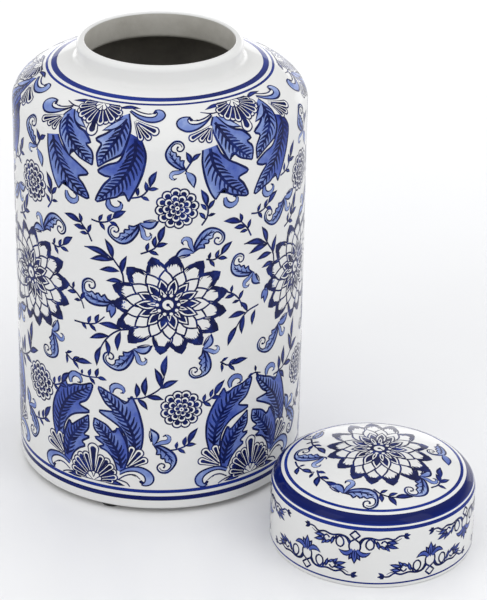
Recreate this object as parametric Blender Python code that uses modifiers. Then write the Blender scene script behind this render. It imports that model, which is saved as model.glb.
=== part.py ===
"""Ginger jar with its loose lid standing beside it: a straight-sided glazed jar with a short neck,
a shallow domed lid that slips over the neck, and round black pads under the foot ring.
Metres, +Z up. Z = 0 is the surface that the pads and the lid stand on, and the origin is the
centre of the footprint of jar and lid together."""

import math

import bpy

# Jar
JAR_RADIUS = 0.090
JAR_TOP_Z = 0.2796  # highest point of the mouth rim
WALL = 0.005
FOOT_Z = 0.0033  # underside of the foot ring, a paint film above the pads
FOOT_ROUNDING = 0.002
FOOT_RING_WIDTH = 0.0145
FOOT_RECESS = 0.003  # how far the underside is hollowed inside the foot ring
FLOOR_THICKNESS = 0.006
INSIDE_CORNER = 0.008  # rounding between the inside wall and the floor
SHOULDER_START_Z = 0.2418  # the straight side ends and the shoulder begins
SHOULDER_RUN = 0.0491  # horizontal half axis of the shoulder's ellipse
SHOULDER_RISE = 0.02624  # vertical half axis of the shoulder's ellipse
NECK_RADIUS = 0.0507
NECK_WAIST = 0.0004  # how much slimmer the neck is at half its height
NECK_FILLET = 0.0035  # hollow rounding where the neck meets the shoulder
MOUTH_CHAMFER = 0.002  # inside, where the neck opens out under the shoulder

# Lid
LID_RADIUS = 0.062
LID_WALL = 0.005
LID_TOP_Z = 0.056  # middle of the dome
LID_SKIRT_TOP_Z = 0.0363  # the straight skirt ends and the rounded edge begins
LID_EDGE_ROUNDING = 0.012
LID_RIM_ROUNDING = 0.0012
LID_BESIDE_JAR = (0.1290, -0.1135)  # lid's axis measured from the jar's axis

# Pads
PAD_RADIUS = 0.00635
PAD_HEIGHT = 0.003
PAD_BEVEL = 0.0006
PAD_CIRCLE_RADIUS = 0.0805
PAD_COUNT = 4
FIRST_PAD_DEGREES = -22.0  # from the jar's front, seen from above

TURNS = 64  # facets round each turned piece

# The origin is the middle of the box round jar and lid.
ORIGIN_X = (LID_BESIDE_JAR[0] + LID_RADIUS - JAR_RADIUS) / 2
ORIGIN_Y = (LID_BESIDE_JAR[1] - LID_RADIUS + JAR_RADIUS) / 2
JAR_AXIS = (-ORIGIN_X, -ORIGIN_Y)
LID_AXIS = (LID_BESIDE_JAR[0] - ORIGIN_X, LID_BESIDE_JAR[1] - ORIGIN_Y)


def clear_scene():
    for obj in list(bpy.data.objects):
        bpy.data.objects.remove(obj)


def new_collection(name):
    collection = bpy.data.collections.new(name)
    bpy.context.scene.collection.children.link(collection)
    return collection


def material(name, colour, roughness, metallic=0.0):
    made = bpy.data.materials.new(name)
    made.use_nodes = True
    shader = made.node_tree.nodes["Principled BSDF"]
    shader.inputs["Base Color"].default_value = (*colour, 1.0)
    shader.inputs["Roughness"].default_value = roughness
    shader.inputs["Metallic"].default_value = metallic
    return made


def arc(centre, radii, start, end, steps):
    """Points (radius, height) on an ellipse, from one angle to another in degrees."""
    angles = [math.radians(start + (end - start) * i / steps) for i in range(steps + 1)]
    return [(centre[0] + radii[0] * math.cos(a), centre[1] + radii[1] * math.sin(a)) for a in angles]


def shoulder_height(radius, inset=0.0):
    """Height of the shoulder at this radius, on the outside or, with an inset, on the inside."""
    run = SHOULDER_RUN - inset
    rise = SHOULDER_RISE - inset
    across = (radius - (JAR_RADIUS - SHOULDER_RUN)) / run
    return SHOULDER_START_Z + rise * math.sqrt(1 - across * across)


def shoulder_angle(radius, inset=0.0):
    """The shoulder ellipse's angle, in degrees, at this radius."""
    across = (radius - (JAR_RADIUS - SHOULDER_RUN)) / (SHOULDER_RUN - inset)
    return math.degrees(math.acos(across))


def neck_outside():
    """From under the lip down the slightly waisted neck and round the hollow at its foot."""
    lip_centre_z = JAR_TOP_Z - WALL / 2
    fillet_end_radius = NECK_RADIUS + NECK_FILLET
    fillet_z = shoulder_height(fillet_end_radius) + NECK_FILLET
    middle_z = (lip_centre_z + fillet_z) / 2
    points = [(NECK_RADIUS - NECK_WAIST, middle_z)]
    points += arc((fillet_end_radius, fillet_z), (NECK_FILLET, NECK_FILLET), 180, 270, 4)
    return points


def jar_profile():
    """From the middle of the floor up the inside, over the lip, down the outside and under the foot."""
    inside_radius = JAR_RADIUS - WALL
    inside_floor_z = FOOT_Z + FOOT_RECESS + FLOOR_THICKNESS
    mouth_radius = NECK_RADIUS - WALL
    chamfer_radius = mouth_radius + MOUTH_CHAMFER
    chamfer_z = shoulder_height(chamfer_radius, WALL)
    corner_centre = (inside_radius - INSIDE_CORNER, inside_floor_z + INSIDE_CORNER)
    shoulder_centre = (JAR_RADIUS - SHOULDER_RUN, SHOULDER_START_Z)
    inner_shoulder = (SHOULDER_RUN - WALL, SHOULDER_RISE - WALL)
    outer_shoulder = (SHOULDER_RUN, SHOULDER_RISE)
    lip_middle = (NECK_RADIUS - WALL / 2, JAR_TOP_Z - WALL / 2)
    ring_inner_radius = JAR_RADIUS - FOOT_ROUNDING - FOOT_RING_WIDTH
    points = [(0.0, inside_floor_z), (inside_radius / 2, inside_floor_z)]
    points += arc(corner_centre, (INSIDE_CORNER, INSIDE_CORNER), -90, 0, 4)
    points += arc(shoulder_centre, inner_shoulder, 0, shoulder_angle(chamfer_radius, WALL), 7)
    points += [(mouth_radius, chamfer_z + MOUTH_CHAMFER)]
    points += arc(lip_middle, (WALL / 2, WALL / 2), 180, 0, 6)
    points += neck_outside()
    points += arc(shoulder_centre, outer_shoulder, shoulder_angle(NECK_RADIUS + NECK_FILLET), 0, 9)[1:]
    foot_centre = (JAR_RADIUS - FOOT_ROUNDING, FOOT_Z + FOOT_ROUNDING)
    points += arc(foot_centre, (FOOT_ROUNDING, FOOT_ROUNDING), 0, -90, 3)
    points += [
        (ring_inner_radius, FOOT_Z),
        (ring_inner_radius - FOOT_RECESS / 2, FOOT_Z + FOOT_RECESS),
        (0.0, FOOT_Z + FOOT_RECESS),
    ]
    return points


def lid_dome_radius():
    """Radius of the ball whose cap runs on smoothly into the lid's rounded edge."""
    reach = LID_RADIUS - LID_EDGE_ROUNDING
    rise = LID_TOP_Z - LID_SKIRT_TOP_Z
    return (reach**2 + rise**2 - LID_EDGE_ROUNDING**2) / (2 * (rise - LID_EDGE_ROUNDING))


def lid_shell(inset, dome_steps, edge_steps):
    """From the middle of the dome to the top of the skirt, on the outside or inset on the inside."""
    ball = lid_dome_radius()
    ball_centre_z = LID_TOP_Z - ball
    reach = LID_RADIUS - LID_EDGE_ROUNDING
    join = math.degrees(math.acos(reach / (ball - LID_EDGE_ROUNDING)))
    dome = arc((0.0, ball_centre_z), (ball - inset, ball - inset), 90, join, dome_steps)
    rounding = LID_EDGE_ROUNDING - inset
    edge = arc((reach, LID_SKIRT_TOP_Z), (rounding, rounding), join, 0, edge_steps)
    return [(0.0, dome[0][1])] + dome[1:] + edge[1:]


def lid_profile():
    """From the top of the dome down the outside, round the rim and back up the hollow inside."""
    rounding = (LID_RIM_ROUNDING, LID_RIM_ROUNDING)
    inner_rim_radius = LID_RADIUS - LID_WALL
    points = lid_shell(0.0, 6, 7)
    points += arc((LID_RADIUS - LID_RIM_ROUNDING, LID_RIM_ROUNDING), rounding, 0, -90, 2)
    points += arc((inner_rim_radius + LID_RIM_ROUNDING, LID_RIM_ROUNDING), rounding, -90, -180, 2)
    points += reversed(lid_shell(LID_WALL, 4, 4))
    return points


def turned(name, profile, location, look, collection):
    """A profile of (radius, height) points turned about the piece's own Z axis."""
    mesh = bpy.data.meshes.new(name)
    edges = [(i, i + 1) for i in range(len(profile) - 1)]
    mesh.from_pydata([(radius, 0.0, height) for radius, height in profile], edges, [])
    mesh.materials.append(look)
    piece = bpy.data.objects.new(name, mesh)
    collection.objects.link(piece)
    piece.location = (location[0], location[1], 0.0)
    screw = piece.modifiers.new("Turn", "SCREW")
    screw.axis = "Z"
    screw.steps = TURNS
    screw.render_steps = TURNS
    screw.use_merge_vertices = True
    screw.merge_threshold = 0.00001
    screw.use_smooth_shade = True
    return piece


def add_pads(collection, look):
    """Round self-adhesive pads spaced evenly under the foot ring."""
    for index in range(PAD_COUNT):
        angle = math.radians(FIRST_PAD_DEGREES + 360 * index / PAD_COUNT)
        x = JAR_AXIS[0] + PAD_CIRCLE_RADIUS * math.sin(angle)
        y = JAR_AXIS[1] - PAD_CIRCLE_RADIUS * math.cos(angle)
        bpy.ops.mesh.primitive_cylinder_add(
            vertices=24, radius=PAD_RADIUS, depth=PAD_HEIGHT, location=(x, y, PAD_HEIGHT / 2)
        )
        pad = bpy.context.object
        pad.name = f"foot_pad_{index + 1}"
        pad.data.name = pad.name
        pad.data.materials.append(look)
        for owner in list(pad.users_collection):
            owner.objects.unlink(pad)
        collection.objects.link(pad)
        bevel = pad.modifiers.new("Soft edge", "BEVEL")
        bevel.width = PAD_BEVEL
        bevel.segments = 1
        bevel.limit_method = "ANGLE"
        pad.data.shade_smooth()
        pad.data.set_sharp_from_angle(angle=math.radians(40))


def build():
    clear_scene()
    parts = new_collection("ginger_jar")
    jar_look = material("jar glaze", (0.62, 0.66, 0.74), 0.08)
    lid_look = material("lid glaze", (0.58, 0.62, 0.72), 0.08)
    pad_look = material("pad rubber", (0.02, 0.02, 0.02), 0.7)
    turned("jar_body", jar_profile(), JAR_AXIS, jar_look, parts)
    turned("lid", lid_profile(), LID_AXIS, lid_look, parts)
    add_pads(parts, pad_look)


build()
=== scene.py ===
"""Looks for the ginger jar and its lid: finely turned glazed bodies, and the cobalt painting laid on
them as thin sheets that follow each surface.

The painting is drawn flat, in millimetres, with complex numbers for points. On the jar a point is
(distance round the body from the front, height), and above the straight side the height goes on as
length along the shoulder. On the lid's top it is (x, y) measured along the dome, and on its skirt
(distance round, height)."""

import cmath
import math
import random

import bpy
import numpy as np
from mathutils import Matrix, Vector


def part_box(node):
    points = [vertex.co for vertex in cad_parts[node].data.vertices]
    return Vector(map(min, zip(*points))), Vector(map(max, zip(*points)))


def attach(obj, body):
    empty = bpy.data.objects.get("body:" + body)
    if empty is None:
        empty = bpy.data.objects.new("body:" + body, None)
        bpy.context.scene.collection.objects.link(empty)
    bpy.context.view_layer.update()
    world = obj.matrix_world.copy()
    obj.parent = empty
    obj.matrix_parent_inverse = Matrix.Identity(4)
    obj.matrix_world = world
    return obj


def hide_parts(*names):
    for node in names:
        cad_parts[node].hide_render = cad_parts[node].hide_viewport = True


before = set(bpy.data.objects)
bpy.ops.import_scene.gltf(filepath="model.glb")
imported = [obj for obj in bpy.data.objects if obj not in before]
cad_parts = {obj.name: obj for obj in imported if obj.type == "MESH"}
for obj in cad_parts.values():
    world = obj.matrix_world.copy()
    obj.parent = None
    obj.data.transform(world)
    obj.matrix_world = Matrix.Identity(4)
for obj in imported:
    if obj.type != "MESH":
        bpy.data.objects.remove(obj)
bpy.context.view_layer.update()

MM = 0.001

# Profile sizes in millimetres, as in the CAD
WALL = 5.0
FOOT_Z = 3.3
FOOT_ROUNDING = 2.0
FOOT_RING_WIDTH = 14.5
FOOT_RECESS = 3.0
FLOOR_THICKNESS = 6.0
INSIDE_CORNER = 8.0
SHOULDER_RUN = 49.1
SHOULDER_RISE = 26.24
SHOULDER_START_Z = 241.8
NECK_RADIUS = 50.7
NECK_WAIST = 0.4
NECK_FILLET = 3.5
MOUTH_CHAMFER = 3.0
LIP_INNER_ROUNDING = 1.0
LIP_OUTER_ROUNDING = 3.2
LID_SKIRT_TOP_Z = 36.3
LID_EDGE_ROUNDING = 12.0
LID_RIM_ROUNDING = 1.2

TURNS = 288  # facets round a turned body
BODY_STEP = 6.0  # height of one facet on the straight sides
SHARP_DEGREES = 40  # a turned edge sharper than this stays crisp

# The bodies' places and outer sizes come from the CAD
jar_low, jar_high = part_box("jar_body")
lid_low, lid_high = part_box("lid")
JAR_AXIS = ((jar_low.x + jar_high.x) / 2, (jar_low.y + jar_high.y) / 2)
LID_AXIS = ((lid_low.x + lid_high.x) / 2, (lid_low.y + lid_high.y) / 2)
JAR_RADIUS = (jar_high.x - jar_low.x) / 2 / MM
JAR_TOP_Z = jar_high.z / MM
LID_RADIUS = (lid_high.x - lid_low.x) / 2 / MM
LID_TOP_Z = lid_high.z / MM

# Camera, in metres and radians
CAMERA_BACK = 1.43412  # from the jar's axis
CAMERA_HEIGHT = 0.805607
CAMERA_PITCH = 0.4549
CAMERA_YAW = 0.0368
CAMERA_ROLL = 0.0161
LENS_MM = 151.16
SENSOR_MM = 36.0

# Painting, in millimetres
WASHES, LINES = 1, 6  # levels: a higher one covers a lower one
LIFT_BASE = 0.014  # paint lies this far off the body, and each level a step further
LIFT_STEP = 0.008
BAND_STEP = 0.7  # height of one facet of a band
BEND_LOW, BEND_HIGH = 238.0, 262.0  # lengths where the shoulder turns sharply
FIELDS = 6
FRONT_COLUMN = -42.3  # the palmette column left of the front, round the body
FRONT_FIELD = 99.8  # from one palmette column to the next, for the three fields in front
BACK_FIELD = (2 * math.pi * JAR_RADIUS - 3 * FRONT_FIELD) / (FIELDS - 3)  # for the three behind
COLUMN_SHIFTS = {1: (-1.0, 3.2)}  # how far a column's top and bottom palmettes are off its line
JAR_BANDS = (
    ("band", 277.0, 280.6),
    ("band", 273.4, 275.0),
    ("band", 15.0, 17.3),
    ("navy", 9.7, 12.8),
)
LID_BANDS = (  # heights of the upper and lower edge
    ("band", 48.15, 47.55),
    ("navy", 46.7, 42.6),
    ("band", 42.6, 41.9),
    ("band", 40.9, 38.8),
    ("band", 3.7, 2.6),
)
SKIRT_REPEATS = 5
SKIRT_STANDING, SKIRT_HANGING = -46.0, -15.2  # distance round the lid of the first of each
SKIRT_FOOT, SKIRT_HEAD = 4.4, 38.6


# ---------------------------------------------------------------- materials

GLAZE_ROUGHNESS = 0.3
GLAZE_COAT = 1.0
GLAZE_COAT_IOR = 1.2
GLAZE_COAT_ROUGHNESS = 0.035
GLAZE_WAVES = (26.0, 1.5, 0.4)  # noise scale, detail and roughness
WAVE_STRENGTH, WAVE_HEIGHT = 0.06, 0.004
SPECK_SCALE = 95.0
POOLING = (110.0, 4.0, 0.6)
WHITE_PALE = (0.755, 0.760, 0.757)
WHITE_WARM = (0.728, 0.728, 0.718)
SPECK = (0.30, 0.31, 0.34)
NAVY_DEEP = (0.003, 0.005, 0.036)
NAVY = (0.006, 0.011, 0.078)
NAVY_THIN = (0.014, 0.034, 0.210)
COBALT = (0.008, 0.028, 0.235)
COBALT_DEEP = (0.004, 0.010, 0.105)
WASH_PALE = (0.40, 0.48, 0.72)
WASH_LIGHT = (0.185, 0.258, 0.545)
WASH_MIDDLE = (0.062, 0.102, 0.40)
WASH_DEEP = (0.008, 0.018, 0.170)
# Noise that breaks up strong cobalt: in drawn strokes, and streaked round the body in bands
STROKES = (150.0, 4.0, 0.6)
STREAKS = (40.0, 5.0, 0.6, (0.35, 0.35, 12.0))
WASH_UNEVEN = 0.16  # how far pooling changes a wash's tone either way


def new_material(name):
    """An empty node material and its Principled shader."""
    made = bpy.data.materials.new(name)
    made.use_nodes = True
    return made, made.node_tree, made.node_tree.nodes["Principled BSDF"]


def set_inputs(node, **values):
    """Sets a node's sockets by name, with _ for a space."""
    for name, value in values.items():
        node.inputs[name.replace("_", " ")].default_value = value


def set_shader(shader, roughness, specular, coat=0.0, coat_roughness=0.03, coat_ior=1.5):
    set_inputs(shader, Roughness=roughness, Specular_IOR_Level=specular, Coat_Weight=coat,
               Coat_Roughness=coat_roughness, Coat_IOR=coat_ior)


def noise(tree, scale, detail=3.0, roughness=0.55, stretch=(1, 1, 1)):
    """Noise fixed to the piece, with stretch as the scale along x, y and z."""
    place = tree.nodes.new("ShaderNodeTexCoord")
    mapping = tree.nodes.new("ShaderNodeMapping")
    set_inputs(mapping, Scale=stretch)
    tree.links.new(place.outputs["Object"], mapping.inputs["Vector"])
    made = tree.nodes.new("ShaderNodeTexNoise")
    set_inputs(made, Scale=scale, Detail=detail, Roughness=roughness)
    tree.links.new(mapping.outputs["Vector"], made.inputs["Vector"])
    return made.outputs["Fac"]


def ramp(tree, value, stops):
    """Colours (position, (r, g, b)) looked up by a value."""
    made = tree.nodes.new("ShaderNodeValToRGB")
    ends = made.color_ramp.elements
    while len(ends) < len(stops):
        ends.new(0.5)
    for element, (position, colour) in zip(ends, stops):
        element.position = position
        element.color = (*colour, 1.0)
    tree.links.new(value, made.inputs["Fac"])
    return made.outputs["Color"]


def mix(tree, amount, first, second, blend="MIX"):
    """Blend of two colours by a number or a socket."""
    made = tree.nodes.new("ShaderNodeMix")
    made.data_type = "RGBA"
    made.blend_type = blend
    if isinstance(amount, float):
        made.inputs[0].default_value = amount
    else:
        tree.links.new(amount, made.inputs[0])
    for socket, value in ((made.inputs[6], first), (made.inputs[7], second)):
        if isinstance(value, tuple):
            socket.default_value = (*value, 1.0)
        else:
            tree.links.new(value, socket)
    return made.outputs[2]


def colour_ramp(tree, shader, value, stops):
    tree.links.new(ramp(tree, value, stops), shader.inputs["Base Color"])


def bump(tree, shader, value, strength, distance):
    made = tree.nodes.new("ShaderNodeBump")
    set_inputs(made, Strength=strength, Distance=distance)
    tree.links.new(value, made.inputs["Height"])
    tree.links.new(made.outputs["Normal"], shader.inputs["Normal"])
    return made.outputs["Normal"]


def finish_glaze(tree, shader):
    """Clear gloss with the faint waviness of a fired glaze."""
    set_shader(shader, GLAZE_ROUGHNESS, 0.0, GLAZE_COAT, GLAZE_COAT_ROUGHNESS, GLAZE_COAT_IOR)
    normal = bump(tree, shader, noise(tree, *GLAZE_WAVES), WAVE_STRENGTH, WAVE_HEIGHT)
    tree.links.new(normal, shader.inputs["Coat Normal"])


def white_glaze():
    """Bluish white porcelain glaze, slightly uneven, with a few specks."""
    made, tree, shader = new_material("white glaze")
    cloud = ramp(tree, noise(tree, 14.0, 4.0), ((0.30, WHITE_WARM), (0.70, WHITE_PALE)))
    specks = tree.nodes.new("ShaderNodeTexVoronoi")
    set_inputs(specks, Scale=SPECK_SCALE)
    place = tree.nodes.new("ShaderNodeTexCoord")
    tree.links.new(place.outputs["Object"], specks.inputs["Vector"])
    near = ramp(tree, specks.outputs["Distance"], ((0.018, (1, 1, 1)), (0.030, (0, 0, 0))))
    some = ramp(tree, noise(tree, 22.0, 1.0), ((0.66, (0, 0, 0)), (0.70, (1, 1, 1))))
    both = mix(tree, 1.0, near, some, "MULTIPLY")
    colour = mix(tree, both, cloud, SPECK)
    tree.links.new(colour, shader.inputs["Base Color"])
    finish_glaze(tree, shader)
    return made


def bisque(name, pale, dark):
    """Dull fired clay, as on the foot ring and inside the jar; the darker copies inside the jar, its neck
    and the lid are painted shade.
    """
    made, tree, shader = new_material(name)
    cloud = noise(tree, 60.0, 6.0, 0.65)
    colour_ramp(tree, shader, cloud, ((0.30, dark), (0.62, pale)))
    set_shader(shader, 0.55, 0.35)
    bump(tree, shader, noise(tree, 420.0, 3.0), 0.25, 0.0006)
    return made


def wash_paint():
    """Diluted cobalt: the tone stored in the mesh, broken up by pooling."""
    made, tree, shader = new_material("wash cobalt")
    tone = tree.nodes.new("ShaderNodeAttribute")
    tone.attribute_name = "tone"
    spread = tree.nodes.new("ShaderNodeMapRange")
    set_inputs(spread, From_Min=0.3, From_Max=0.7, To_Min=-WASH_UNEVEN, To_Max=WASH_UNEVEN)
    tree.links.new(noise(tree, *POOLING), spread.inputs["Value"])
    both = tree.nodes.new("ShaderNodeMath")
    both.operation = "ADD"
    tree.links.new(tone.outputs["Fac"], both.inputs[0])
    tree.links.new(spread.outputs["Result"], both.inputs[1])
    stops = ((0.0, WASH_PALE), (0.25, WASH_LIGHT), (0.6, WASH_MIDDLE), (1.0, WASH_DEEP))
    colour_ramp(tree, shader, both.outputs["Value"], stops)
    finish_glaze(tree, shader)
    return made


def cobalt_paint(name, brushing, stops):
    """Strong cobalt, darker where it pools. brushing is the noise that breaks it up."""
    made, tree, shader = new_material(name)
    colour_ramp(tree, shader, noise(tree, *brushing), stops)
    finish_glaze(tree, shader)
    return made


def pad_rubber():
    made, tree, shader = new_material("pad rubber fine")
    stops = ((0.3, (0.010, 0.010, 0.011)), (0.7, (0.026, 0.026, 0.028)))
    colour_ramp(tree, shader, noise(tree, 900.0, 3.0), stops)
    set_shader(shader, 0.62, 0.4)
    bump(tree, shader, noise(tree, 2600.0, 2.0), 0.3, 0.0002)
    return made


# ---------------------------------------------------------------- turned bodies


def add_object(name, data):
    made = bpy.data.objects.new(name, data)
    bpy.context.scene.collection.objects.link(made)
    return made


def arc(centre, radii, start, end, steps):
    """Points (radius, height) on an ellipse, from one angle to another in degrees."""
    angles = [math.radians(start + (end - start) * i / steps) for i in range(steps + 1)]
    return [(centre[0] + radii[0] * math.cos(a), centre[1] + radii[1] * math.sin(a)) for a in angles]


def straight(start, end):
    """Points from start up to, and without, end."""
    steps = max(1, round(math.dist(start, end) / BODY_STEP))
    return [
        (start[0] + (end[0] - start[0]) * i / steps, start[1] + (end[1] - start[1]) * i / steps)
        for i in range(steps)
    ]


def shoulder_height(radius, inset=0.0):
    across = (radius - (JAR_RADIUS - SHOULDER_RUN)) / (SHOULDER_RUN - inset)
    return SHOULDER_START_Z + (SHOULDER_RISE - inset) * math.sqrt(1 - across * across)


def shoulder_angle(radius, inset=0.0):
    across = (radius - (JAR_RADIUS - SHOULDER_RUN)) / (SHOULDER_RUN - inset)
    return math.degrees(math.acos(across))


def jar_sections():
    """The jar's closed profile as (material, points), from the middle of the floor up the inside,
    over the lip, down the outside and under the foot."""
    inside_radius = JAR_RADIUS - WALL
    floor_z = FOOT_Z + FOOT_RECESS + FLOOR_THICKNESS
    mouth_radius = NECK_RADIUS - WALL
    chamfer_radius = mouth_radius + MOUTH_CHAMFER
    chamfer_z = shoulder_height(chamfer_radius, WALL)
    corner = (inside_radius - INSIDE_CORNER, floor_z + INSIDE_CORNER)
    shoulder = (JAR_RADIUS - SHOULDER_RUN, SHOULDER_START_Z)
    lip_z = JAR_TOP_Z - WALL / 2
    fillet_radius = NECK_RADIUS + NECK_FILLET
    fillet_z = shoulder_height(fillet_radius) + NECK_FILLET
    waist = (NECK_RADIUS - NECK_WAIST, (lip_z + fillet_z) / 2)
    ring_inner = JAR_RADIUS - FOOT_ROUNDING - FOOT_RING_WIDTH
    inside = straight((0.0, floor_z), (corner[0], floor_z))
    inside += arc(corner, (INSIDE_CORNER, INSIDE_CORNER), -90, 0, 6)[:-1]
    inside += straight((inside_radius, corner[1]), (inside_radius, SHOULDER_START_Z))
    inner_shoulder = (SHOULDER_RUN - WALL, SHOULDER_RISE - WALL)
    inside += arc(shoulder, inner_shoulder, 0, shoulder_angle(chamfer_radius, WALL), 20)
    mouth = arc(
        (chamfer_radius, chamfer_z + MOUTH_CHAMFER), (MOUTH_CHAMFER, MOUTH_CHAMFER), -90, -180, 6
    )[1:]
    mouth += [(mouth_radius, JAR_TOP_Z - LIP_INNER_ROUNDING)]
    inner_lip = (mouth_radius + LIP_INNER_ROUNDING, JAR_TOP_Z - LIP_INNER_ROUNDING)
    outside = arc(inner_lip, (LIP_INNER_ROUNDING, LIP_INNER_ROUNDING), 170, 90, 6)
    outer_lip = (NECK_RADIUS - LIP_OUTER_ROUNDING, JAR_TOP_Z - LIP_OUTER_ROUNDING)
    outside += arc(outer_lip, (LIP_OUTER_ROUNDING, LIP_OUTER_ROUNDING), 88, 0, 12)
    outside += [waist] + arc((fillet_radius, fillet_z), (NECK_FILLET, NECK_FILLET), 180, 270, 8)
    outer = (SHOULDER_RUN, SHOULDER_RISE)
    outside += arc(shoulder, outer, shoulder_angle(fillet_radius), 0, 40)[1:-1]
    foot = (JAR_RADIUS - FOOT_ROUNDING, FOOT_Z + FOOT_ROUNDING)
    outside += straight((JAR_RADIUS, SHOULDER_START_Z), (JAR_RADIUS, foot[1]))
    outside += arc(foot, (FOOT_ROUNDING, FOOT_ROUNDING), 0, -60, 4)
    under = [(foot[0], FOOT_Z), (ring_inner, FOOT_Z)]
    under += [(ring_inner - FOOT_RECESS / 2, FOOT_Z + FOOT_RECESS), (0.0, FOOT_Z + FOOT_RECESS)]
    return [("inside", inside), ("mouth", mouth), ("glaze", outside), ("foot", under)]


def lid_ball():
    """Radius of the ball whose cap runs on smoothly into the lid's rounded edge."""
    reach = LID_RADIUS - LID_EDGE_ROUNDING
    rise = LID_TOP_Z - LID_SKIRT_TOP_Z
    return (reach**2 + rise**2 - LID_EDGE_ROUNDING**2) / (2 * (rise - LID_EDGE_ROUNDING))


def lid_shell(inset, dome_steps, edge_steps):
    """From the middle of the dome to the top of the skirt, on the outside or inset inside."""
    ball = lid_ball()
    reach = LID_RADIUS - LID_EDGE_ROUNDING
    join = math.degrees(math.acos(reach / (ball - LID_EDGE_ROUNDING)))
    dome = arc((0.0, LID_TOP_Z - ball), (ball - inset, ball - inset), 90, join, dome_steps)
    rounding = LID_EDGE_ROUNDING - inset
    edge = arc((reach, LID_SKIRT_TOP_Z), (rounding, rounding), join, 0, edge_steps)
    return [(0.0, dome[0][1])] + dome[1:] + edge[1:]


def lid_sections():
    """The lid's closed profile, from the top of the dome down the outside and up the inside."""
    rounding = (LID_RIM_ROUNDING, LID_RIM_ROUNDING)
    inner = LID_RADIUS - WALL
    outside = lid_shell(0.0, 26, 20)[:-1]
    outside += straight((LID_RADIUS, LID_SKIRT_TOP_Z), (LID_RADIUS, LID_RIM_ROUNDING))
    outside += arc((LID_RADIUS - LID_RIM_ROUNDING, LID_RIM_ROUNDING), rounding, 0, -45, 3)
    rim = arc((LID_RADIUS - LID_RIM_ROUNDING, LID_RIM_ROUNDING), rounding, -90, -90, 1)[:1]
    rim += arc((inner + LID_RIM_ROUNDING, LID_RIM_ROUNDING), rounding, -90, -180, 5)
    hollow = list(reversed(lid_shell(WALL, 14, 10)))
    return [("glaze", outside), ("foot", rim), ("inside", hollow)]


def turned(name, sections, axis, looks, body):
    """A closed solid turned from its profile, with one material for each section."""
    profile = [point for _, points in sections for point in points]
    kinds = [kind for kind, points in sections for _ in points]
    order = list(looks)
    angles = np.arange(TURNS) * 2 * math.pi / TURNS
    verts, rings = [], []
    for radius, height in profile:
        if radius == 0.0:
            rings.append([len(verts)] * TURNS)
            verts.append((0.0, 0.0, height * MM))
        else:
            rings.append(list(range(len(verts), len(verts) + TURNS)))
            verts += [(radius * MM * math.cos(a), radius * MM * math.sin(a), height * MM) for a in angles]
    faces, slots = [], []
    for i in range(len(rings) - 1):
        low, high = rings[i], rings[i + 1]
        for j in range(TURNS):
            k = (j + 1) % TURNS
            corners = list(dict.fromkeys((low[j], high[j], high[k], low[k])))
            faces.append(corners)
            slots.append(order.index(kinds[i]))
    mesh = bpy.data.meshes.new(name)
    mesh.from_pydata(verts, [], faces)
    for look in looks.values():
        mesh.materials.append(look)
    mesh.polygons.foreach_set("material_index", slots)
    mesh.shade_smooth()
    mesh.set_sharp_from_angle(angle=math.radians(SHARP_DEGREES))
    piece = add_object(name, mesh)
    piece.location = (*axis, 0.0)
    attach(piece, body)
    return piece


# ---------------------------------------------------------------- paint mapped on a surface


class Surface:
    """A turned surface that paint is laid on: radius, height and slope by length along it."""

    def __init__(self, axis, points):
        self.axis = axis
        self.points = np.array(points, float)
        steps = np.hypot(*np.diff(self.points, axis=0).T)
        self.along = np.concatenate([[0.0], np.cumsum(steps)])
        slope = np.gradient(self.points, self.along, axis=0)
        self.normals = np.stack([slope[:, 1], -slope[:, 0]], axis=1)
        self.normals /= np.linalg.norm(self.normals, axis=1)[:, None]

    def place(self, angle, along, lift):
        """Points in metres and unit normals, for angles from the front and lengths in mm."""
        radius, height = (np.interp(along, self.along, self.points[:, i]) for i in (0, 1))
        out, up = (np.interp(along, self.along, self.normals[:, i]) for i in (0, 1))
        radius, height = radius + lift * out, height + lift * up
        turn_x, turn_y = np.sin(angle), -np.cos(angle)
        points = np.stack([radius * turn_x, radius * turn_y, height], axis=-1) * MM
        normals = np.stack([out * turn_x, out * turn_y, up], axis=-1)
        return points, normals / np.linalg.norm(normals, axis=-1)[..., None]


SURFACE_STEPS = 400


def jar_surface():
    """Up the straight side from the table, then along the shoulder."""
    foot = [(JAR_RADIUS, z) for z in np.linspace(0.0, SHOULDER_START_Z, 60)[:-1]]
    shoulder = (JAR_RADIUS - SHOULDER_RUN, SHOULDER_START_Z)
    end = shoulder_angle(NECK_RADIUS + NECK_FILLET)
    return Surface(
        JAR_AXIS, foot + arc(shoulder, (SHOULDER_RUN, SHOULDER_RISE), 0, end, SURFACE_STEPS)
    )


def lid_surface():
    """From the middle of the dome out and down the skirt, turned inside out for the normals."""
    points = lid_shell(0.0, SURFACE_STEPS, SURFACE_STEPS)
    points += [(LID_RADIUS, z) for z in np.linspace(LID_SKIRT_TOP_Z, LID_RIM_ROUNDING, 40)[1:]]
    made = Surface(LID_AXIS, points)
    made.normals = -made.normals
    return made


# ---------------------------------------------------------------- flat drawing kit


PAINT_STEP = 1.9  # longest side of a painted facet
LINE_STEP = 1.5  # the same along a drawn line
PETAL_STEP = 1.3  # along a petal
LEAF_STEP = 1.4  # along a sprig's leaf
FINE_STEP = 0.7  # round a petal's end
LINE = 1.02  # usual width of a drawn line
STEM = 1.15
ROUND_END = (8, 26, 44, 60, 75, 86)  # degrees round a petal's end where it is measured
TIP = 0.04  # half width where a pointed shape ends
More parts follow.
